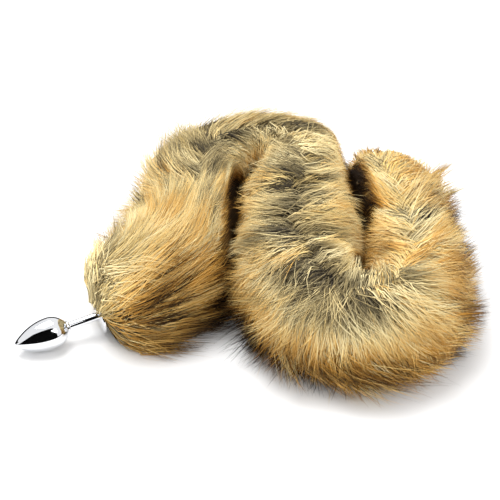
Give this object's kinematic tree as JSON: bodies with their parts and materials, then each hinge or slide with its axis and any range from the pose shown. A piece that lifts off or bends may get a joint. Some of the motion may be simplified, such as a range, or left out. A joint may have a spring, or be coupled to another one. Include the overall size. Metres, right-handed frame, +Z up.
{
  "type": "fox tail butt plug",
  "caption": "Polished metal plug with a pointed bulb, a slim stem and a round flange that carries a long, full fur tail, lying in an S on a surface.",
  "frame": {"origin": "middle of the box round the whole object, on the surface that it lies on", "axes": "+Z up from the surface, +X from the plug's side to the tail's far side, +Y away from the viewer of the picture"},
  "size_m": [0.37, 0.3292, 0.0873],
  "materials": {
    "polished_metal": "mirror polished",
    "post_metal": "plain turned",
    "fur": "long soft pile, grey at the root, cream and gold along the hair, dark at some tips"
  },
  "bodies": {
    "root": {"plug": "polished_metal", "tail_post": "post_metal", "fur_tail": "fur"}
  },
  "joints": []
}
